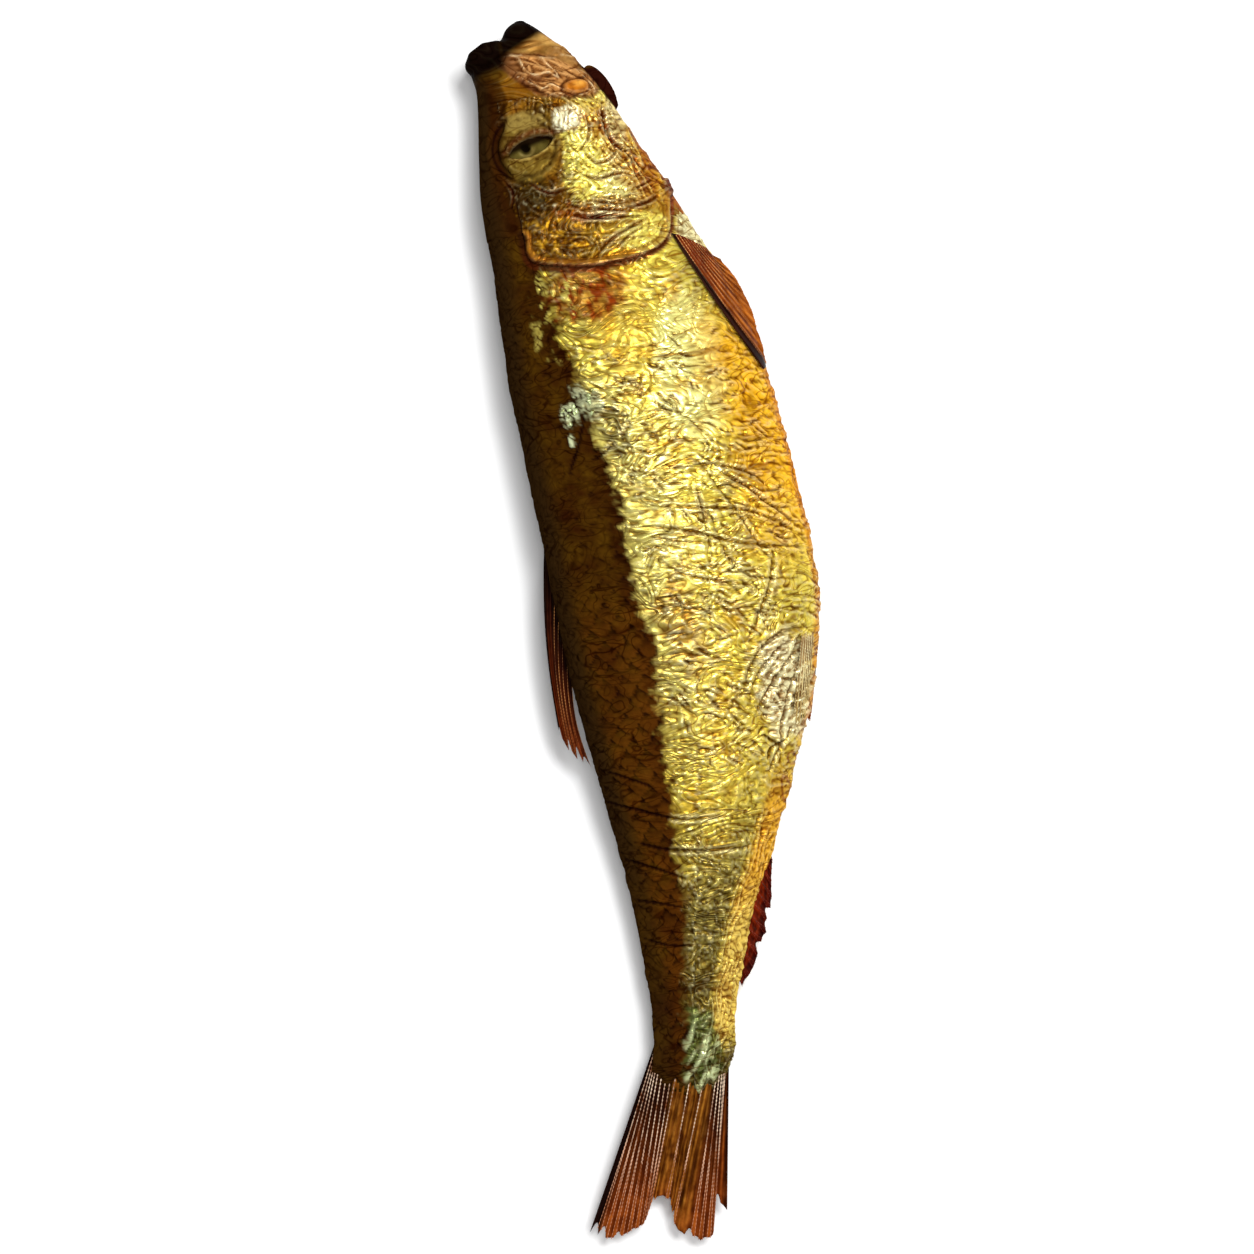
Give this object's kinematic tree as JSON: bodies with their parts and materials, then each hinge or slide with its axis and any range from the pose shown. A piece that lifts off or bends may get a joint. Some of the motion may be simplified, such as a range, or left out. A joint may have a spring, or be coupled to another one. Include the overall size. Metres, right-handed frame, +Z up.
{
  "type": "smoked fish",
  "caption": "Whole smoked fish lying on its side, with creased golden skin, a dark back, folded fins and a ragged forked tail.",
  "frame": {"origin": "centre of the part's box at the height of the surface that the fish lies on", "axes": "+Y from tail to snout, +X from back to belly, +Z up through the right flank"},
  "size_m": [0.0804, 0.3099, 0.0327],
  "materials": {
    "smoked_skin": "oily smoked fish skin, gold foil-like on the flank and dark brown on the back",
    "fin_rays": "dry translucent fin web between beaded rays",
    "eye": "wet glossy eyeball",
    "mouth_lining": "dark red-brown flesh"
  },
  "bodies": {
    "root": {"smoked_fish": "smoked_skin"}
  },
  "joints": []
}
